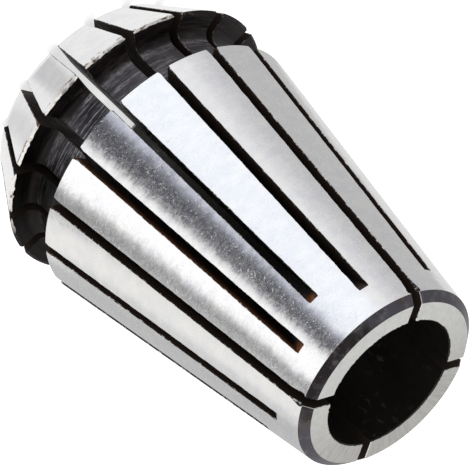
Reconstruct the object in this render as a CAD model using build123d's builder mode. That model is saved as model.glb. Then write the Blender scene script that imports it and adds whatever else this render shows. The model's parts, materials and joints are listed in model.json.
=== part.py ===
from build123d import *
from math import radians, sqrt, tan
import os

# Spring collet, one piece: turned from bar, slit from both ends, hardened and ground.
# The axis is Z. The flat face of the head is at Z = 0 and the small end points up.

# Overall sizes
length = 31.5  # head face to small end
head_diameter = 21.0  # over the widest edge of the head
bore_diameter = 10.0  # size of shank that it clamps

# Head, pressed by the nut
head_length = 4.65  # head face to the shoulder
head_half_angle = 30.0
nose_break = 0.1  # small bevel where the cone meets the face
shoulder_break = 0.12  # small flat along the widest edge

# Groove, where the nut's ring pulls the collet out
groove_diameter = 17.1
groove_width = 3.5
shoulder_root_radius = 0.8
taper_root_radius = 0.6

# Seating taper
taper_diameter = 20.55  # at the large end, beside the groove
taper_half_angle = 8.0
taper_break = 0.08

# Small end
end_chamfer_height = 0.55
end_chamfer_depth = 0.6

# Bore edges
mouth_chamfer = 0.5  # at the head, where the shank goes in
bore_end_break = 0.08

# Slots: each segment has one slot from the small end and several from the head
segments = 4
head_slots_per_segment = 3
slot_width = 0.7
saw_diameter = 50.0
saw_overcut = 0.8  # depth of the rim inside the bore
long_slot_web = 2.4  # left above the outer head slots of a segment
short_slot_web = 3.9  # left above the others
nose_overrun = 0.3  # how far past the face the slots from the small end would meet the cone

# Turned outline
head_radius = head_diameter / 2
groove_radius = groove_diameter / 2
taper_radius = taper_diameter / 2
bore_radius = bore_diameter / 2
taper_start = head_length + groove_width
cone_top = head_length - shoulder_break
chamfer_start = length - end_chamfer_height
lip_break = min(taper_break, 0.4 * (taper_radius - groove_radius))


def cone_radius(z):
    """Radius of the head cone at height z."""
    return head_radius - (cone_top - z) * tan(radians(head_half_angle))


def seat_radius(z):
    """Radius of the seating taper at height z."""
    return taper_radius - (z - taper_start) * tan(radians(taper_half_angle))


def saw_cut(tip_radius, tip_z, open_z):
    """Plate that the saw clears: it enters at open_z, and its rim runs out at the tip."""
    saw_radius = saw_diameter / 2
    floor_radius = bore_radius - saw_overcut
    clear_radius = max(head_radius, taper_radius) + 1
    centre_radius = floor_radius + saw_radius
    forward = 1 if tip_z > open_z else -1
    centre_z = tip_z - forward * sqrt(saw_radius**2 - (centre_radius - tip_radius) ** 2)
    rim_z = centre_z + forward * sqrt(saw_radius**2 - (centre_radius - clear_radius) ** 2)
    with BuildPart() as cut:
        with BuildSketch(Plane.XZ):
            with BuildLine():
                floor = Line((floor_radius, open_z), (floor_radius, centre_z))
                rim = TangentArc(floor @ 1, (clear_radius, rim_z), tangent=(0, forward))
                side = Line(rim @ 1, (clear_radius, open_z))
                Line(side @ 1, floor @ 0)
            make_face()
        extrude(amount=slot_width / 2, both=True)
    return cut.part


long_slot_top = length - long_slot_web
short_slot_top = length - short_slot_web
tail_cut = saw_cut(cone_radius(-nose_overrun), -nose_overrun, length + 1)
long_cut = saw_cut(seat_radius(long_slot_top), long_slot_top, -1)
short_cut = saw_cut(seat_radius(short_slot_top), short_slot_top, -1)

with BuildPart() as collet:
    with BuildSketch(Plane.XZ) as section:
        with BuildLine():
            nose_radius = cone_radius(nose_break)
            face = Line((0, 0), (nose_radius - nose_break, 0))
            bevel = Line(face @ 1, (nose_radius, nose_break))
            cone = Line(bevel @ 1, (head_radius, cone_top))
            edge = Line(cone @ 1, (head_radius - shoulder_break, head_length))
            shoulder = Line(edge @ 1, (groove_radius, head_length))
            floor = Line(shoulder @ 1, (groove_radius, taper_start))
            wall = Line(floor @ 1, (taper_radius - lip_break, taper_start))
            lip = Line(wall @ 1, (seat_radius(taper_start + lip_break), taper_start + lip_break))
            seat = Line(lip @ 1, (seat_radius(chamfer_start), chamfer_start))
            chamfer_line = Line(seat @ 1, (seat_radius(chamfer_start) - end_chamfer_depth, length))
            end_face = Line(chamfer_line @ 1, (0, length))
            Line(end_face @ 1, face @ 0)
        make_face()
        # the groove's root radii, each limited by the wall that it runs into
        roots = section.vertices().sort_by_distance((groove_radius, head_length))
        fillet(roots[0], min(shoulder_root_radius, 0.8 * shoulder.length, 0.45 * groove_width))
        roots = section.vertices().sort_by_distance((groove_radius, taper_start))
        fillet(roots[0], min(taper_root_radius, 0.8 * wall.length, 0.45 * groove_width))
    revolve(axis=Axis.Z)

    Hole(bore_radius)
    bore_edges = collet.edges().filter_by(GeomType.CIRCLE)
    bore_edges = bore_edges.filter_by(lambda edge: abs(edge.radius - bore_radius) < 1e-4)
    chamfer(bore_edges.sort_by(Axis.Z)[0], mouth_chamfer)
    chamfer(bore_edges.sort_by(Axis.Z)[-1], bore_end_break)

    with PolarLocations(0, segments):
        add(tail_cut, mode=Mode.SUBTRACT)
    pitch = 360 / segments / (head_slots_per_segment + 1)
    for index in range(1, head_slots_per_segment + 1):
        outermost = index in (1, head_slots_per_segment)
        with PolarLocations(0, segments, start_angle=index * pitch):
            add(long_cut if outermost else short_cut, mode=Mode.SUBTRACT)

collet.part.label = "collet"

os.makedirs("parts", exist_ok=True)
export_step(collet.part, "parts/collet.step")
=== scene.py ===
import json
import math
import random

import bpy
from mathutils import Matrix, Vector


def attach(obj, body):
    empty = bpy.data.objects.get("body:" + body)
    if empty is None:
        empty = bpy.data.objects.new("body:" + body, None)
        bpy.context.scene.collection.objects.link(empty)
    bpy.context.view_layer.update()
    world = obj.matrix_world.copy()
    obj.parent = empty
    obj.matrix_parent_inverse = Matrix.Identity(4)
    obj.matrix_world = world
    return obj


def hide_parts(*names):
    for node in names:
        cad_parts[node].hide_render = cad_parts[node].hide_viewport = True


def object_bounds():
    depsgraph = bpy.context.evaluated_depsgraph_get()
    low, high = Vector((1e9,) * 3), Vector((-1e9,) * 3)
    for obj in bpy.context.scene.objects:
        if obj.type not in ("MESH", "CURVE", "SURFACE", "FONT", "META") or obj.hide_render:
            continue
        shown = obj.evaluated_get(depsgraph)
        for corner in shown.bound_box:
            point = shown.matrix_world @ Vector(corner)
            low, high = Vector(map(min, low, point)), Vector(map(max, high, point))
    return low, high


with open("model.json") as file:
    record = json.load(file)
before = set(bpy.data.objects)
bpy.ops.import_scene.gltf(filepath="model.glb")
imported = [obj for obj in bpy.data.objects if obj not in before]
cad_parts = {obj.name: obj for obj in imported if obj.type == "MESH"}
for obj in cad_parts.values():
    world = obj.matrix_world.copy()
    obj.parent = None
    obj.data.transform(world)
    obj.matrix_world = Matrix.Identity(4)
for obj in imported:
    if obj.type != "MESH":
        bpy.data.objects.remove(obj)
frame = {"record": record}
cad_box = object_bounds()
mounts = {mount["name"]: mount for mount in frame["record"]["mounts"]}
scene = bpy.context.scene

# ---------------------------------------------------------------- sizes in mm, as in the CAD model
MM = 0.001
LENGTH = round(cad_box[1][2] / MM, 4)  # the frame's height
BORE_R = mounts["shank_bore"]["dims"]["r_mm"]
HEAD_R = 10.5
HEAD_LENGTH = 4.65
HEAD_SLOPE = math.tan(math.radians(30))
NOSE_BREAK = 0.1
SHOULDER_BREAK = 0.12
CONE_TOP = HEAD_LENGTH - SHOULDER_BREAK
GROOVE_R = 8.55
GROOVE_WIDTH = 3.5
SHOULDER_ROOT = 0.8
TAPER_ROOT = 0.6
TAPER_START = HEAD_LENGTH + GROOVE_WIDTH
TAPER_R = 10.275
TAPER_SLOPE = math.tan(math.radians(8))
LIP = 0.08
CHAMFER_DEPTH, CHAMFER_HEIGHT = 0.6, 0.55
MOUTH = 0.5
BORE_BREAK = 0.08
SLOT_HALF = 0.35
SAW_R = 25.0
SAW_FLOOR = BORE_R - 0.8
REAR_TIP, LONG_TIP, SHORT_TIP = -0.3, LENGTH - 2.4, LENGTH - 3.9  # heights where the saw runs out
KINDS = ("rear", "long", "short", "long") * 4  # the slots in turn, from +X
SLOTS = len(KINDS)

# ---------------------------------------------------------------- deburring and wear, in mm
RIDGE = 0.007  # height of the turning ridges in the groove
EDGE = 0.04  # width of the broken edges along the slots
FLARE_START, FLARE_LENGTH, FLARE = LENGTH - 1.6, 0.8, 0.16  # rear slots open out near the small end
CORNERS = ((HEAD_LENGTH - 0.05, 0.45, 0.14), (TAPER_START, 0.5, 0.12))  # rounded: height, reach, width
SMALL_NICKS, NICKS, LARGE_NICKS = 0.011, 0.017, 0.075
LARGE_NICKED = ((5, 1), (13, -1))  # slot edges with the largest nicks
NICKED_ZONES = ("ground", "rim", "lip", "chamfer")
QUIET = 0.4  # nicks elsewhere, as a part of the noise
NICK_DEPTH = 0.5  # depth of a nick's lip, as a part of its width
LEAST_EDGE = -0.02  # how far a slot's edge may lean over the slot
NICK_EVERY = 40  # rows to each larger nick
NICK_RANGE = (-0.8, 1.3)  # its width, as a part of the noise
BORE_BURR = (-0.05, 0.03)  # in and out, round the bore's upper edge
RIM_BURR = 0.08  # rolled over the widest edge

# ---------------------------------------------------------------- mesh steps
GROUND_STEP = 0.16
GROOVE_STEP = 0.075
COLUMNS = 14  # across the land between two slots
RIM_STEPS = 24  # along the floor that the saw's rim leaves
THIRDS = (-1, -1 / 3, 1 / 3, 1)  # across a slot
SHARP_ANGLE = 28  # degrees
HALVINGS = 50  # to find where the saw's rim crosses the outline
MITRE_LIMIT = 0.6  # keeps the offset short at sharp corners
NEAR = 0.01  # mm, to tell the rows that carry a burr
CLEARED = 1e-6  # mm, so that a row on the saw's rim counts as steel


def cone_radius(z):
    """Radius of the head's cone at height z."""
    return HEAD_R - (CONE_TOP - z) * HEAD_SLOPE


def seat_radius(z):
    """Radius of the seating taper at height z."""
    return TAPER_R - (z - TAPER_START) * TAPER_SLOPE


# ---------------------------------------------------------------- turned outline
rng = random.Random(7)


def run(points, a, b, zone, step, relief=0.0):
    """Adds rows about a step apart from a up to b, b left out. relief is the turning ridges' height."""
    count = max(1, round(math.dist(a, b) / step))
    for i in range(count):
        t = i / count
        r, z = a[0] + (b[0] - a[0]) * t, a[1] + (b[1] - a[1]) * t
        points.append((r + (rng.uniform(-relief, relief) if i else 0), z, zone))


def arc(points, centre, radius, start, end, zone, count):
    """Adds rows along an arc, its end left out."""
    for i in range(count):
        a = math.radians(start + (end - start) * i / count)
        points.append((centre[0] + radius * math.cos(a), centre[1] + radius * math.sin(a), zone))


def outline():
    """Closed section of the turned body, as rows of radius, height and zone."""
    nose = (cone_radius(NOSE_BREAK), NOSE_BREAK)
    face_r = nose[0] - NOSE_BREAK
    rim = (HEAD_R, CONE_TOP)
    shoulder = (HEAD_R - SHOULDER_BREAK, HEAD_LENGTH)
    root_1 = (GROOVE_R + SHOULDER_ROOT, HEAD_LENGTH + SHOULDER_ROOT)  # centres of the root radii
    root_2 = (GROOVE_R + TAPER_ROOT, TAPER_START - TAPER_ROOT)
    lip = (TAPER_R - LIP, TAPER_START)
    seat = (seat_radius(TAPER_START + LIP), TAPER_START + LIP)
    seat_end = (seat_radius(LENGTH - CHAMFER_HEIGHT), LENGTH - CHAMFER_HEIGHT)
    ring_r = seat_end[0] - CHAMFER_DEPTH
    p = []
    run(p, (BORE_R, MOUTH), (BORE_R + MOUTH, 0), "bore", 0.25)
    run(p, (BORE_R + MOUTH, 0), (face_r, 0), "face", 0.5)
    run(p, (face_r, 0), nose, "ground", 0.26)
    run(p, nose, rim, "ground", GROUND_STEP)
    run(p, rim, shoulder, "rim", 0.2)
    run(p, shoulder, (root_1[0], HEAD_LENGTH), "black", 0.14)
    arc(p, root_1, SHOULDER_ROOT, 270, 180, "black", 12)
    run(p, (GROOVE_R, root_1[1]), (GROOVE_R, root_2[1]), "black", GROOVE_STEP, RIDGE)
    arc(p, root_2, TAPER_ROOT, 180, 90, "black", 9)
    run(p, (root_2[0], TAPER_START), lip, "black", 0.2)
    run(p, lip, seat, "lip", 0.2)
    run(p, seat, seat_end, "ground", GROUND_STEP)
    run(p, seat_end, (ring_r, LENGTH), "chamfer", 0.2)
    run(p, (ring_r, LENGTH), (BORE_R + BORE_BREAK, LENGTH), "ring", 0.35)
    run(p, (BORE_R + BORE_BREAK, LENGTH), (BORE_R, LENGTH - BORE_BREAK), "bore", 0.2)
    run(p, (BORE_R, LENGTH - BORE_BREAK), (BORE_R, MOUTH), "bore", 0.6)
    return p


class Saw:
    """The plate that a slitting saw clears, from the head or from the small end."""

    def __init__(self, tip_r, tip_z, from_head):
        self.side = 1 if from_head else -1
        self.cr = SAW_FLOOR + SAW_R
        self.cz = tip_z - self.side * math.sqrt(SAW_R**2 - (self.cr - tip_r) ** 2)

    def depth(self, r, z):
        """Positive inside the cleared plate."""
        disc = SAW_R - math.hypot(r - self.cr, z - self.cz)
        straight = min(r - SAW_FLOOR, (self.cz - z) * self.side)
        return max(disc, straight)

    def rim(self, a, b, count):
        """Points on the saw's rim between two points, ends left out."""
        t0, t1 = (math.atan2(q[1] - self.cz, q[0] - self.cr) % (2 * math.pi) for q in (a, b))
        turns = [t0 + (t1 - t0) * i / count for i in range(1, count)]
        return [(self.cr + SAW_R * math.cos(t), self.cz + SAW_R * math.sin(t)) for t in turns]


saws = {
    "rear": Saw(cone_radius(REAR_TIP), REAR_TIP, False),
    "long": Saw(seat_radius(LONG_TIP), LONG_TIP, True),
    "short": Saw(seat_radius(SHORT_TIP), SHORT_TIP, True),
}


def with_run_out(rows, saw):
    """Adds a row exactly where the saw's rim crosses the outline."""
    made = []
    for i, a in enumerate(rows):
        b = rows[(i + 1) % len(rows)]
        made.append(a)
        inside = saw.depth(a[0], a[1]) > 0
        if inside != (saw.depth(b[0], b[1]) > 0):
            lo, hi = 0.0, 1.0
            for _ in range(HALVINGS):
                mid = (lo + hi) / 2
                d = saw.depth(a[0] + (b[0] - a[0]) * mid, a[1] + (b[1] - a[1]) * mid)
                lo, hi = (mid, hi) if (d > 0) == inside else (lo, mid)
            made.append((a[0] + (b[0] - a[0]) * lo, a[1] + (b[1] - a[1]) * lo, a[2]))
    return made


rows = outline()
for saw in saws.values():
    rows = with_run_out(rows, saw)
row_count = len(rows)


def inward(i):
    """Direction into the steel at row i, as long as an even offset of both its sides needs."""
    (r0, z0, _), (r1, z1, _), (r2, z2, _) = rows[i - 1], rows[i], rows[(i + 1) % row_count]
    a = Vector((-(z1 - z0), r1 - r0)).normalized()
    b = Vector((-(z2 - z1), r2 - r1)).normalized()
    n = (a + b).normalized()
    return n / max(MITRE_LIMIT, n.dot(a))


normals = [inward(i) for i in range(row_count)]
open_rows = {kind: [saw.depth(r, z) > CLEARED for r, z, _ in rows] for kind, saw in saws.items()}

# ---------------------------------------------------------------- mesh
MATERIALS = (
    "ground_steel", "black_oxide", "chamfer_oxide", "turned_face", "bore_steel",
    "saw_cut_wall", "saw_run_out", "broken_edge", "head_rim", "stained_wall",
    "groove_edge", "stained_run_out", "bright_edge",
)
ZONE_MAT = {
    "ground": "ground_steel", "rim": "head_rim", "lip": "ground_steel", "black": "black_oxide",
    "chamfer": "chamfer_oxide", "ring": "turned_face", "face": "turned_face", "bore": "bore_steel",
}
EDGE_MAT = {
    "ground": "broken_edge", "rim": "head_rim", "lip": "broken_edge", "black": "groove_edge",
    "chamfer": "bright_edge", "ring": "bright_edge", "face": "bright_edge", "bore": "bore_steel",
}
STAINED = (3, 9)  # slots whose walls kept more of the brown stain
STAINED_TIPS = (2, 3, 7, 9, 13)  # and those whose run-out did
verts, faces, mats = [], [], []


def vertex(angle, offset, r, z):
    """Adds a point at radius r whose distance from the plane at that angle is offset."""
    phi = angle + math.asin(max(-1, min(1, offset / r)))
    verts.append((r * math.cos(phi) * MM, r * math.sin(phi) * MM, z * MM))
    return len(verts) - 1


def face(ids, name):
    """Adds a face of the named material, unless its points fall together."""
    clean = [v for i, v in enumerate(ids) if v != ids[i - 1]]
    if len(clean) > 2:
        faces.append(clean)
        mats.append(MATERIALS.index(name))


def ragged(count, size, hold=0.62):
    """Smoothed noise with a few larger nicks, one number a row."""
    raw = [rng.uniform(-1, 1) for _ in range(count)]
    out, value = [], 0.0
    for x in raw:
        value = value * hold + x * (1 - hold)
        out.append(size * value * 2)
    for _ in range(count // NICK_EVERY):
        i = rng.randrange(count)
        for k in range(rng.randrange(1, 4)):
            out[(i + k) % count] += size * rng.uniform(*NICK_RANGE)
    return out


def edge_width(kind, zone, z, by_run_out):
    """Width of a slot's broken edge at one row."""
    width = EDGE * (0.5 if by_run_out else 1.0)
    if kind == "rear" and zone == "ground" and z > FLARE_START:
        width += FLARE * min(1, (z - FLARE_START) / FLARE_LENGTH)
    if zone in ("ground", "rim", "lip"):
        for centre, reach, extra in CORNERS:
            width += extra * max(0, 1 - abs(z - centre) / reach) ** 2
    return width


def nick_size(k, side):
    """Size of the nicks along one edge of slot k."""
    if (k, side) in LARGE_NICKED:
        return LARGE_NICKS
    return NICKS if (k + (side > 0)) % 3 else SMALL_NICKS


def slot_angle(k):
    """Angle of slot k round the axis."""
    return 2 * math.pi * k / SLOTS


def slot_edges(k, side):
    """Vertices along one side of slot k, for each row one on the surface and one on the slot's wall."""
    kind, angle = KINDS[k], slot_angle(k)
    opened = open_rows[kind]
    noise = ragged(row_count, nick_size(k, side))
    surface, wall = [], []
    for i, (r, z, zone) in enumerate(rows):
        if not opened[i]:
            surface.append(vertex(angle, side * SLOT_HALF, r, z))
            wall.append(surface[-1])
            continue
        width = edge_width(kind, zone, z, not opened[i - 1] or not opened[(i + 1) % row_count])
        jitter = noise[i] if zone in NICKED_ZONES else noise[i] * QUIET
        lift = max(0.0, -jitter) * NICK_DEPTH if zone == "ground" and z > HEAD_LENGTH else 0.0
        nr, nz = normals[i]
        offset = side * (SLOT_HALF + max(width + jitter, LEAST_EDGE))
        surface.append(vertex(angle, offset, r - nr * lift, z - nz * lift))
        wall.append(vertex(angle, side * SLOT_HALF, r + nr * width, z + nz * width))
    return surface, wall


def burr(zone, r, z):
    """Change of radius at one point of a row, on the two rows that carry a burr."""
    if zone == "bore" and z > LENGTH - NEAR:
        return rng.uniform(*BORE_BURR)
    if zone == "black" and r > HEAD_R - SHOULDER_BREAK - NEAR:
        return -abs(rng.gauss(0, RIM_BURR))
    return 0.0


def land(k):
    """The turned surface between slot k and the next."""
    left, right = edges[k, 1][0], edges[(k + 1) % SLOTS, -1][0]
    grid = []
    for i, (r, z, zone) in enumerate(rows):
        margin = math.asin((SLOT_HALF + EDGE) / r)
        start, end = slot_angle(k) + margin, slot_angle(k + 1) - margin
        line = [left[i]]
        for c in range(1, COLUMNS):
            line.append(vertex(start + (end - start) * c / COLUMNS, 0, r + burr(zone, r, z), z))
        line.append(right[i])
        grid.append(line)
    for i in range(row_count):
        j = (i + 1) % row_count
        for c in range(COLUMNS):
            face((grid[i][c], grid[i][c + 1], grid[j][c + 1], grid[j][c]), ZONE_MAT[rows[i][2]])


def slot(k):
    """Slot k: the steel beyond its end, its broken edges, its run-out and its two walls."""
    angle, saw, opened = slot_angle(k), saws[KINDS[k]], open_rows[KINDS[k]]
    (ls, lw), (rs, rw) = edges[k, -1], edges[k, 1]
    bridge = {}  # rows of steel left beyond the slot's end
    for i, (r, z, _) in enumerate(rows):
        if not opened[i]:
            middle = [vertex(angle, SLOT_HALF * t, r, z) for t in THIRDS[1:3]]
            bridge[i] = [ls[i], *middle, rs[i]]
    ends = [i for i in bridge if opened[i - 1] or opened[(i + 1) % row_count]]
    for i in range(row_count):
        j = (i + 1) % row_count
        zone = rows[i][2]
        if i in bridge and j in bridge:
            for c in range(3):
                face((bridge[i][c], bridge[i][c + 1], bridge[j][c + 1], bridge[j][c]), ZONE_MAT[zone])
        else:  # broken edges down both sides of the slot
            face((lw[i], lw[j], ls[j], ls[i]), EDGE_MAT[zone])
            face((rs[i], rs[j], rw[j], rw[i]), EDGE_MAT[zone])
    # the floor that the saw's rim leaves, from the outside run-out to the bore
    tip = max(ends, key=lambda i: rows[i][0])
    root = min(ends, key=lambda i: rows[i][0])
    floor = [bridge[tip]]
    for r, z in saw.rim(rows[tip], rows[root], RIM_STEPS):
        floor.append([vertex(angle, SLOT_HALF * t, r, z) for t in THIRDS])
    floor.append(bridge[root])
    for a, b in zip(floor, floor[1:]):
        for c in range(3):
            quad = (a[c], a[c + 1], b[c + 1], b[c])
            face(quad[::-saw.side], "stained_run_out" if k in STAINED_TIPS else "saw_run_out")
    # the two flat walls, bounded by the outline from root to tip and by that floor
    step = 1 if opened[(root + 1) % row_count] else -1
    path, i = [], root
    while i != tip:
        path.append(i)
        i = (i + step) % row_count
    for side, wall, column in ((-1, lw, 0), (1, rw, 3)):
        loop = [wall[i] for i in path] + [across[column] for across in floor[:-1]]
        face(loop[:: side * step], "stained_wall" if k in STAINED else "saw_cut_wall")


edges = {(k, side): slot_edges(k, side) for k in range(SLOTS) for side in (-1, 1)}
for k in range(SLOTS):
    land(k)
for k in range(SLOTS):
    slot(k)

mesh = bpy.data.meshes.new("collet_steel")
mesh.from_pydata(verts, [], faces)
mesh.validate()
for polygon, mat in zip(mesh.polygons, mats):
    polygon.material_index = mat
    polygon.use_smooth = True
mesh.set_sharp_from_angle(angle=math.radians(SHARP_ANGLE))
collet = bpy.data.objects.new("collet_steel", mesh)
scene.collection.objects.link(collet)


# ---------------------------------------------------------------- node helpers
class Nodes:
    """Short calls for the shader nodes used below."""

    def __init__(self, tree):
        self.tree = tree
        tree.nodes.clear()

    def new(self, kind, inputs=None, **settings):
        node = self.tree.nodes.new(kind)
        for name, value in settings.items():
            setattr(node, name, value)
        for name, value in (inputs or {}).items():
            self.put(node.inputs[name], value)
        return node

    def put(self, socket, value):
        if isinstance(value, bpy.types.NodeSocket):
            self.tree.links.new(value, socket)
        else:
            socket.default_value = value

    def math(self, operation, a, b=0.0, c=0.0):
        node = self.new("ShaderNodeMath", operation=operation)
        for socket, value in zip(node.inputs, (a, b, c)):
            self.put(socket, value)
        return node.outputs[0]

    def product(self, first, *others):
        for value in others:
            first = self.math("MULTIPLY", first, value)
        return first

    def total(self, first, *others):
        for value in others:
            first = self.math("ADD", first, value)
        return first

    def vector(self, operation, a, b=None, scale=None):
        node = self.new("ShaderNodeVectorMath", {0: a}, operation=operation)
        if b is not None:
            self.put(node.inputs[1], b)
        if scale is not None:
            self.put(node.inputs["Scale"], scale)
        return node.outputs["Value" if operation in ("LENGTH", "DOT_PRODUCT") else "Vector"]

    def parts(self, vector):
        return self.new("ShaderNodeSeparateXYZ", {0: vector}).outputs

    def ramp(self, value, lo, hi, out_lo=0.0, out_hi=1.0):
        sockets = {"Value": value, "From Min": lo, "From Max": hi, "To Min": out_lo, "To Max": out_hi}
        return self.new("ShaderNodeMapRange", sockets, interpolation_type="SMOOTHSTEP").outputs["Result"]

    def band(self, value, rise, fall):
        """1 between two pairs of places, rising over the first pair and falling over the second."""
        return self.product(self.ramp(value, *rise), self.ramp(value, fall[1], fall[0]))

    def height(self, place):
        """Millimetres above the head's face."""
        return self.math("DIVIDE", self.parts(place)["Z"], MM)

    def mix(self, factor, a, b):
        """Blend of two colours, each a socket or plain red, green and blue."""
        a, b = ((*c, 1) if isinstance(c, tuple) else c for c in (a, b))
        sockets = {"Factor": factor, "A": a, "B": b}
        return self.new("ShaderNodeMix", sockets, data_type="RGBA").outputs["Result"]

    def bump(self, height, strength, distance):
        sockets = {"Strength": strength, "Distance": distance, "Height": height}
        return self.new("ShaderNodeBump", sockets).outputs[0]

    def noise(self, vector, detail, rough):
        sockets = {"Vector": vector, "Scale": 1.0, "Detail": detail, "Roughness": rough}
        return self.new("ShaderNodeTexNoise", sockets).outputs["Fac"]

    def grain(self, place, across, up, detail, rough):
        """Noise with so many cells a metre across the axis and along it."""
        return self.noise(self.vector("MULTIPLY", place, (across, across, up)), detail, rough)

    def turned(self, place, turn, radial, up, detail, rough):
        """Noise along the turning lines: cells round the axis, and a metre outwards and up."""
        flat = self.vector("MULTIPLY", place, (1.0, 1.0, 0.0))
        ring = self.parts(self.vector("SCALE", self.vector("NORMALIZE", flat), scale=turn))
        outwards = self.math("MULTIPLY", self.vector("LENGTH", flat), radial)
        upwards = self.math("MULTIPLY", self.parts(place)["Z"], up)
        along = self.total(outwards, upwards)
        joined = self.new("ShaderNodeCombineXYZ", {"X": ring["X"], "Y": ring["Y"], "Z": along})
        return self.noise(joined.outputs[0], detail, rough)

    def strokes(self, place, direction, width, length):
        """Noise drawn out into short strokes along a direction, sizes in metres."""
        fine = self.vector("SCALE", place, scale=1 / width)
        along = self.vector("DOT_PRODUCT", place, direction)
        along = self.math("MULTIPLY", along, 1 / length - 1 / width)
        drawn = self.vector("ADD", fine, self.vector("SCALE", direction, scale=along))
        return self.noise(drawn, 1.0, 0.5)

    def centred(self, value, size):
        """Noise made even about zero, and that large."""
        return self.math("MULTIPLY", self.math("SUBTRACT", value, 0.5), size)

    def side(self, place, azimuth, border, uneven, start, full):
        """Rises from 0 to 1 towards the azimuth, between two distances from the axis, border broken."""
        a = math.radians(azimuth)
        outwards = self.vector("DOT_PRODUCT", place, (math.cos(a), math.sin(a), 0.0))
        return self.ramp(self.total(outwards, self.centred(border, uneven)), start, full)

    def tilted_normal(self, place, swing, lift):
        """Normal tipped round the axis by swing and along it by lift."""
        normal = self.new("ShaderNodeNewGeometry").outputs["Normal"]
        flat = self.vector("NORMALIZE", self.vector("MULTIPLY", place, (1.0, 1.0, 0.0)))
        round_axis = self.vector("CROSS_PRODUCT", (0.0, 0.0, 1.0), flat)
        a = self.vector("SCALE", round_axis, scale=swing)
        b = self.vector("SCALE", (0.0, 0.0, 1.0), scale=lift)
        return self.vector("NORMALIZE", self.vector("ADD", self.vector("ADD", normal, a), b))

    def slot_depth(self, place):
        """Metres from the seating taper inwards."""
        r = self.vector("LENGTH", self.vector("MULTIPLY", place, (1.0, 1.0, 0.0)))
        base_r = (TAPER_R + TAPER_START * TAPER_SLOPE) * MM  # of the taper carried down to the face
        seat = self.math("MULTIPLY_ADD", self.parts(place)["Z"], -TAPER_SLOPE, base_r)
        return self.math("SUBTRACT", seat, r)


steels = {}


def steel(name, metallic, specular=0.5):
    """Starts a material of the collet: its nodes, its shader's sockets and the place on the object."""
    steels[name] = bpy.data.materials.new(name)
    steels[name].use_nodes = True
    n = Nodes(steels[name].node_tree)
    shader = n.new("ShaderNodeBsdfPrincipled", {"Metallic": metallic, "Specular IOR Level": specular})
    n.new("ShaderNodeOutputMaterial", {"Surface": shader.outputs[0]})
    return n, shader.inputs, n.new("ShaderNodeTexCoord").outputs["Object"]


# ---------------------------------------------------------------- materials
# n makes a material's nodes, s holds its shader's sockets and place is the place on the object. Noise
# scales are in cells a metre, a side's distances from the axis in metres and heights in mm.

# ground steel of the seat and the head's cone, with grinding marks and painted glints: small bright specks
# and strokes painted into its colour
STROKE_DIRECTIONS = ((-0.67, 0.44, 0.60), (-0.71, 0.46, -0.53), (0.46, 0.71, 0.53))
STROKE_WIDTH, STROKE_LENGTH = 0.00016, 0.00048
STAIN_RISE = (HEAD_LENGTH - 0.5, HEAD_LENGTH - 0.2)  # the brown along the head's widest edge
STAIN_FALL = (HEAD_LENGTH + 0.35, HEAD_LENGTH + 1.35)
n, s, place = steel("ground_steel", 1.0)
fine = n.grain(place, 1000.0, 6500.0, 3.0, 0.6)
cross = n.grain(place, 3600.0, 5600.0, 3.0, 0.6)
wave = n.grain(place, 500.0, 900.0, 2.0, 0.5)
mottle = n.grain(place, 1500.0, 1900.0, 2.0, 0.55)
# painted highlight: glint specks and strokes painted near white and less metallic
painted_glint = n.ramp(n.grain(place, 5200.0, 12000.0, 1.0, 0.5), 0.69, 0.75)
for direction in STROKE_DIRECTIONS:
    stroke = n.strokes(place, direction, STROKE_WIDTH, STROKE_LENGTH)
    painted_glint = n.math("MAXIMUM", painted_glint, n.ramp(stroke, 0.67, 0.80, 0.0, 0.8))
swing = n.total(n.centred(fine, 0.04), n.centred(cross, 0.045))
swing = n.total(swing, n.centred(wave, 0.05), n.centred(mottle, 0.06))
lift = n.total(n.centred(cross, 0.065), n.centred(mottle, 0.06))
cloud = n.grain(place, 900.0, 1400.0, 4.0, 0.6)
tone = n.mix(n.ramp(cloud, 0.3, 0.7), (0.765, 0.768, 0.790), (0.835, 0.830, 0.820))
stain = n.ramp(n.grain(place, 1400.0, 2600.0, 3.0, 0.65), 0.52, 0.60)
stain = n.product(n.band(n.height(place), STAIN_RISE, STAIN_FALL), stain)
tone = n.mix(stain, tone, (0.22, 0.15, 0.10))
n.put(s["Base Color"], n.mix(painted_glint, tone, (0.92, 0.92, 0.92)))
n.put(s["Metallic"], n.math("MULTIPLY_ADD", painted_glint, -0.5, 1.0))
n.put(s["Roughness"], n.math("MULTIPLY_ADD", painted_glint, 0.15, n.ramp(cross, 0.3, 0.7, 0.19, 0.26)))
n.put(s["Normal"], n.tilted_normal(place, swing, lift))

# blackened groove with its turning lines painted lighter as glints, its shoulder wall painted darker and
# browner as shade, painted shade on one side, a painted reflection band near the shoulder, and bluer on the
# floor
SHADED_SIDE, SHADED_RANGE = 129, (0.0042, 0.0070)  # painted shade: the side where the groove is painted darker
LIGHTER_SIDE, LIGHTER_RANGE = -11, (0.0040, 0.0072)  # and a side where the floor is lighter and its bright lines fewer
FLOOR_RISE = (HEAD_LENGTH + 0.25, HEAD_LENGTH + 0.65)  # from the shoulder's painted shade to the floor's tones
REFLECTION_RISE = (HEAD_LENGTH + 0.4, HEAD_LENGTH + 0.65)  # painted reflection: a lighter band where the shoulder's root radius ends
REFLECTION_FALL = (HEAD_LENGTH + 0.85, HEAD_LENGTH + 1.15)
n, s, place = steel("black_oxide", 0.5, specular=0.35)
lines = n.turned(place, 4.0, 9000.0, 9000.0, 2.0, 0.6)
patch = n.grain(place, 420.0, 700.0, 3.0, 0.6)
grit = n.grain(place, 3400.0, 9000.0, 2.0, 0.6)
# painted shade: one side of the groove painted darker and more metallic, with fewer bright lines there
painted_shade_side = n.side(place, SHADED_SIDE, patch, 0.006, *SHADED_RANGE)
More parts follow.
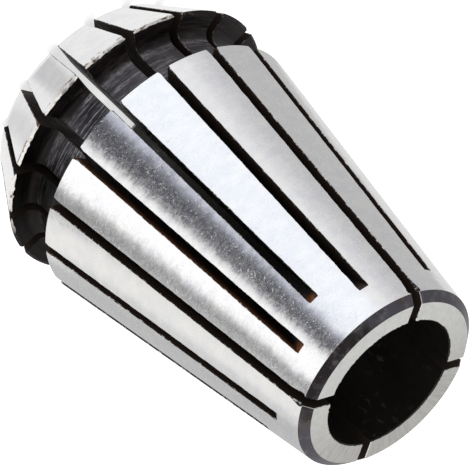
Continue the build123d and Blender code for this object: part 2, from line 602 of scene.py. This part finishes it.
# one side where the floor is lighter, with fewer bright lines
even = n.side(place, LIGHTER_SIDE, patch, 0.003, *LIGHTER_RANGE)
# turning lines painted lighter, standing in for glints along them
bright = n.product(n.ramp(lines, 0.47, 0.60), n.ramp(patch, 0.32, 0.58))
bright = n.product(bright, n.ramp(grit, 0.30, 0.60, 0.25, 1.0))
bright = n.product(bright, n.math("MULTIPLY_ADD", painted_shade_side, -0.85, 1.0))
bright = n.product(bright, n.math("MULTIPLY_ADD", even, -0.5, 1.0))
# painted reflection: a lighter grey band painted round the groove
painted_reflection = n.band(n.height(place), REFLECTION_RISE, REFLECTION_FALL)
painted_reflection = n.product(painted_reflection, n.ramp(grit, 0.40, 0.60, 0.2, 0.9))
floor_dark = n.mix(even, (0.048, 0.044, 0.053), (0.066, 0.060, 0.068))
floor_dark = n.mix(painted_reflection, floor_dark, (0.17, 0.16, 0.165))
floor_dark = n.mix(painted_shade_side, floor_dark, (0.0035, 0.0022, 0.0016))
on_floor = n.ramp(n.height(place), *FLOOR_RISE)
# painted shade: the shoulder wall far darker than the floor
dark = n.mix(on_floor, (0.008, 0.0056, 0.0050), floor_dark)
light = n.mix(on_floor, (0.075, 0.060, 0.055), (0.42, 0.40, 0.42))
n.put(s["Base Color"], n.mix(bright, dark, light))
n.put(s["Metallic"], n.math("MULTIPLY_ADD", painted_shade_side, 0.4, 0.5))
n.put(s["Roughness"], n.ramp(lines, 0.3, 0.7, 0.32, 0.5))
n.put(s["Normal"], n.bump(lines, 0.7, 0.00004))

# chamfer at the small end, blotched, and painted darker on one side as painted shade
n, s, place = steel("chamfer_oxide", 0.5, specular=0.2)
brown = n.grain(place, 380.0, 380.0, 2.0, 0.5)
# painted shade: one side of the chamfer painted darker, with fewer blots
painted_shade_side = n.side(place, 61, brown, 0.004, 0.0052, 0.0064)
blot = n.ramp(n.grain(place, 1500.0, 1500.0, 4.0, 0.65), 0.48, 0.76)
blot = n.product(blot, n.math("MULTIPLY_ADD", painted_shade_side, -0.6, 1.0))
tone = n.mix(n.ramp(brown, 0.55, 0.72), (0.084, 0.079, 0.094), (0.080, 0.063, 0.056))
tone = n.mix(painted_shade_side, tone, (0.013, 0.0095, 0.0105))
n.put(s["Base Color"], n.mix(blot, tone, (0.17, 0.16, 0.165)))
n.put(s["Roughness"], n.ramp(blot, 0.3, 0.7, 0.38, 0.55))

# end ring and head face, turned, painted darker on one side as painted shade, with more marks there
n, s, place = steel("turned_face", 1.0)
lines = n.turned(place, 12.0, 12000.0, 0.0, 3.0, 0.6)
across = n.turned(place, 26.0, 500.0, 0.0, 3.0, 0.7)
grit = n.grain(place, 3000.0, 3000.0, 3.0, 0.6)
# painted shade: one side of the ring painted darker, where the cross marks also show
shaded_ring_side = n.side(place, 201.2, grit, 0.001, -0.006, 0.008)
marks = n.product(n.ramp(across, 0.42, 0.66), n.ramp(shaded_ring_side, 0.3, 0.8, 0.0, 0.6))
tone = n.mix(n.ramp(grit, 0.3, 0.7), (0.68, 0.68, 0.66), (0.75, 0.75, 0.73))
tone = n.mix(n.product(shaded_ring_side, 0.55), tone, (0.40, 0.385, 0.35))
n.put(s["Base Color"], n.mix(marks, tone, (0.42, 0.41, 0.385)))
n.put(s["Roughness"], n.ramp(lines, 0.3, 0.7, 0.36, 0.5))
n.put(s["Normal"], n.bump(n.total(lines, across), 0.3, 0.00002))

# bore, dark with worn rings
n, s, place = steel("bore_steel", 0.6)
scratch = n.turned(place, 14.0, 0.0, 1500.0, 4.0, 0.7)
worn = n.ramp(n.grain(place, 260.0, 200.0, 2.0, 0.5), 0.52, 0.62)
worn = n.product(n.ramp(scratch, 0.56, 0.68), worn)
n.put(s["Base Color"], n.mix(worn, (0.024, 0.020, 0.018), (0.11, 0.105, 0.10)))
n.put(s["Roughness"], n.ramp(scratch, 0.3, 0.7, 0.35, 0.5))


def slot_wall(name, near, deep, reach):
    """Saw-cut wall, from one tone at the taper to another at the reach."""
    n, s, place = steel(name, 0.2, specular=0.03)
    saw_lines = n.grain(place, 2500.0, 900.0, 3.0, 0.6)
    depth = n.ramp(n.total(n.slot_depth(place), n.centred(saw_lines, 0.001)), 0.0, reach)
    n.put(s["Base Color"], n.mix(depth, near, deep))
    n.put(s["Roughness"], n.ramp(saw_lines, 0.3, 0.7, 0.42, 0.65))


slot_wall("saw_cut_wall", (0.038, 0.026, 0.0205), (0.034, 0.025, 0.021), 0.0016)
slot_wall("stained_wall", (0.17, 0.066, 0.027), (0.036, 0.022, 0.016), 0.0011)


def run_out(name, low, high):
    """Floor where a slot runs out, rusty near the taper, and painted dark below as shade deeper in the
    slot.
    """
    n, s, place = steel(name, 0.2, specular=0.2)
    stain = n.grain(place, 3000.0, 3000.0, 3.0, 0.65)
    rust = n.mix(n.ramp(stain, 0.40, 0.62), low, high)
    # painted shade: the floor darkens to near black deeper in the slot
    depth = n.ramp(n.total(n.slot_depth(place), n.centred(stain, 0.0012)), 0.0001, 0.0008)
    n.put(s["Base Color"], n.mix(depth, rust, (0.009, 0.007, 0.006)))
    n.put(s["Roughness"], n.ramp(stain, 0.3, 0.7, 0.45, 0.65))


run_out("saw_run_out", (0.045, 0.032, 0.027), (0.095, 0.060, 0.044))
run_out("stained_run_out", (0.10, 0.038, 0.016), (0.36, 0.130, 0.043))


def broken_edge(name, metallic, catch_scale, rough, tones, border, smooth=0.3, shaded_sides=(), shade_tone=None):
    """Edge part dark and part bright, and painted dark on the shaded sides as painted shade.

    Each of those is an azimuth, how uneven its border is, and where it starts and is full, as for side().
    """
    n, s, place = steel(name, metallic)
    catch = n.grain(place, *catch_scale, 3.0, rough)
    tone = n.mix(n.ramp(catch, *border), *tones)
    # painted shade: the edge painted dark on the listed sides
    for azimuth, uneven, start, full in shaded_sides:
        tone = n.mix(n.side(place, azimuth, catch, uneven, start, full), tone, shade_tone)
    n.put(s["Base Color"], tone)
    n.put(s["Roughness"], n.ramp(catch, 0.3, 0.7, smooth, 0.5))


EDGE_SCALE, RIM_SCALE = (2500.0, 2500.0), (1500.0, 3500.0)
slot_tones = ((0.03, 0.022, 0.017), (0.72, 0.70, 0.67))
end_tones = ((0.05, 0.04, 0.035), (0.66, 0.65, 0.63))
rim_tones = ((0.16, 0.10, 0.07), (0.80, 0.77, 0.74))
groove_tones = ((0.03, 0.022, 0.018), (0.26, 0.215, 0.19))
broken_edge("broken_edge", 0.8, EDGE_SCALE, 0.7, slot_tones, (0.50, 0.66))
broken_edge("bright_edge", 0.8, EDGE_SCALE, 0.7, end_tones, (0.36, 0.50))
# head rim: painted shade on two sides, where its bright edge is painted dark
broken_edge(
    "head_rim", 0.9, RIM_SCALE, 0.65, rim_tones, (0.34, 0.52),
    shaded_sides=((-36, 0.003, 0.0080, 0.0090), (155, 0.003, 0.0080, 0.0090)), shade_tone=(0.022, 0.018, 0.018),
)
# groove edge: painted shade on the groove's shaded side
broken_edge(
    "groove_edge", 0.6, EDGE_SCALE, 0.7, groove_tones, (0.42, 0.62), smooth=0.35,
    shaded_sides=((SHADED_SIDE, 0.0, *SHADED_RANGE),), shade_tone=(0.010, 0.008, 0.007),
)

for name in MATERIALS:
    mesh.materials.append(steels[name])
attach(collet, "root")
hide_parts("collet")

# ---------------------------------------------------------------- camera at the photograph's angle
CAMERA_AZIMUTH, CAMERA_ELEVATION = 48.9517, 31.8623  # degrees, the first from +X
CAMERA_ROLL = 133.8147  # degrees, because the collet lies at an angle in the picture
CAMERA_AIM, CAMERA_DISTANCE = Vector((0.000135, 0.000156, 0.015418)), 0.417684
azimuth, elevation = math.radians(CAMERA_AZIMUTH), math.radians(CAMERA_ELEVATION)
outwards = Vector((math.cos(azimuth), math.sin(azimuth), math.tan(elevation))).normalized()
turn = outwards.to_track_quat("Z", "Y").to_matrix().to_4x4()
camera_data = bpy.data.cameras.new("camera")
camera_data.sensor_width = 36.0
camera_data.lens = 487.238
camera_data.clip_start, camera_data.clip_end = 0.02, 20.0
camera = bpy.data.objects.new("camera", camera_data)
camera.matrix_world = Matrix.Translation(CAMERA_AIM + CAMERA_DISTANCE * outwards) @ turn
camera.matrix_world @= Matrix.Rotation(math.radians(CAMERA_ROLL), 4, "Z")
scene.collection.objects.link(camera)
scene.camera = camera

# ---------------------------------------------------------------- floor, cards, lamp, world
WHITE = (1, 1, 1, 1)


def stage_piece(name, points, quads):
    """A piece of the stage, with the nodes of its material and the socket of its surface."""
    shape = bpy.data.meshes.new(name)
    shape.from_pydata(points, [], quads)
    piece = bpy.data.objects.new(name, shape)
    scene.collection.objects.link(piece)
    look = bpy.data.materials.new(name)
    look.use_nodes = True
    n = Nodes(look.node_tree)
    shape.materials.append(look)
    return piece, n, n.new("ShaderNodeOutputMaterial").inputs["Surface"]


# pale paper: its shade holds the object's shadow, the camera sees it paler and reflections see it white
HALF, GLOW, PAPER = 3.0, 0.66, (0.8, 0.8, 0.8, 1)
corners = [(-HALF, -HALF, 0), (HALF, -HALF, 0), (HALF, HALF, 0), (-HALF, HALF, 0)]
_, n, surface = stage_piece("floor", corners, [(0, 1, 2, 3)])
path = n.new("ShaderNodeLightPath").outputs
shade = n.new("ShaderNodeBsdfDiffuse", {"Color": PAPER})
glow = n.new("ShaderNodeEmission", {"Color": WHITE})
n.put(glow.inputs["Strength"], n.math("MULTIPLY", path["Is Camera Ray"], GLOW))
paper = n.new("ShaderNodeAddShader", {0: shade.outputs[0], 1: glow.outputs[0]})
mirrored = n.new("ShaderNodeEmission", {"Color": WHITE, "Strength": 1.0})
reflected = n.math("MAXIMUM", path["Is Glossy Ray"], path["Is Transmission Ray"])
both = n.new("ShaderNodeMixShader", {0: reflected, 1: paper.outputs[0], 2: mirrored.outputs[0]})
n.put(surface, both.outputs[0])

CARD_HEIGHT = 0.0004
CARD_INNER, CARD_OUTER = 0.013, 0.3
HEAD_CARD_INNER, HEAD_CARD_OUTER = 0.007, 0.0125
CARD_PARTS = 10
COOL, WARM, PLAIN = (0.95, 0.98, 1.03), (1.01, 1.0, 0.975), (1, 1, 1)


def card(name, start, end, inner, outer, strength, tint=PLAIN, fade=3.0):
    """A studio card lying round the object, seen only in its reflections, with soft ends.

    Angles are from the camera's side, in degrees, and fade is the width of a soft end.
    """
    first, last = start + fade / 2, end - fade / 2
    stops = [start - fade / 2]
    stops += [first + (last - first) * i / CARD_PARTS for i in range(CARD_PARTS + 1)]
    stops += [end + fade / 2]
    points = []
    for stop in stops:
        a = math.radians(CAMERA_AZIMUTH + stop)
        points += [(r * math.cos(a), r * math.sin(a), CARD_HEIGHT) for r in (inner, outer)]
    quads = [(2 * i, 2 * i + 1, 2 * i + 3, 2 * i + 2) for i in range(len(stops) - 1)]
    piece, n, surface = stage_piece(name, points, quads)
    cover = piece.data.attributes.new("cover", "FLOAT", "POINT")
    for i in range(2, len(points) - 2):
        cover.data[i].value = 1.0
    light = n.new("ShaderNodeEmission", {"Color": (*tint, 1), "Strength": strength})
    clear = n.new("ShaderNodeBsdfTransparent")
    cover_fac = n.new("ShaderNodeAttribute", attribute_name="cover").outputs["Fac"]
    both = n.new("ShaderNodeMixShader", {0: cover_fac, 1: clear.outputs[0], 2: light.outputs[0]})
    n.put(surface, both.outputs[0])
    piece.visible_camera = piece.visible_diffuse = piece.visible_shadow = piece.visible_transmission = False


CARDS = (  # start, end, strength, tint
    (-165, -134, 0.84, PLAIN),
    (-134, -80, 0.58, PLAIN),
    (-80, -70, 0.66, (0.99, 0.99, 1.02)),
    (-70, -60, 0.80, (0.99, 0.99, 1.02)),
    (-46, -4, 1.22, COOL),
    (-4.5, 0.6, 0.62, (0.87, 0.91, 1.17)),
    (0.6, 20.8, 0.065, (0.95, 0.92, 1.15)),
    (21.8, 52, 1.32, PLAIN),
    (53.5, 65.5, 0.28, PLAIN),
    (65.5, 75, 0.66, PLAIN),
    (75, 97, 1.0, WARM),
    (97, 108, 0.76, PLAIN),
    (109, 166, 0.57, PLAIN),
    (170, 186, 0.12, PLAIN),
)
for i, (start, end, strength, tint) in enumerate(CARDS):
    card("card_%d" % i, start, end, CARD_INNER, CARD_OUTER, strength, tint)
card("card_head_1", -1, 12, HEAD_CARD_INNER, HEAD_CARD_OUTER, 0.70, fade=5.0)
card("card_head_2", 27, 42, HEAD_CARD_INNER, HEAD_CARD_OUTER, 0.80, fade=10.0)

LAMP_PLACE, LAMP_AIM = Vector((-0.14, 0.06, 0.48)), Vector((0, 0, 0.012))
lamp_data = bpy.data.lights.new("lamp_top", "AREA")
lamp_data.shape = "DISK"
lamp_data.size = 0.9
lamp_data.energy = 1.8
lamp = bpy.data.objects.new("lamp_top", lamp_data)
lamp.location = LAMP_PLACE
lamp.rotation_mode = "QUATERNION"
lamp.rotation_quaternion = (LAMP_AIM - LAMP_PLACE).to_track_quat("-Z", "Y")
scene.collection.objects.link(lamp)

# the world lights the object at SKY, and the camera sees it white
SKY = 0.55
world = bpy.data.worlds.new("world")
scene.world = world
world.use_nodes = True
n = Nodes(world.node_tree)
path = n.new("ShaderNodeLightPath").outputs
seen = n.math("MAXIMUM", path["Is Camera Ray"], path["Is Transmission Ray"])
light = n.math("MULTIPLY_ADD", seen, 1 - SKY, SKY)
sky = n.new("ShaderNodeBackground", {"Color": WHITE, "Strength": light})
n.new("ShaderNodeOutputWorld", {"Surface": sky.outputs[0]})

scene.view_settings.view_transform = "Standard"
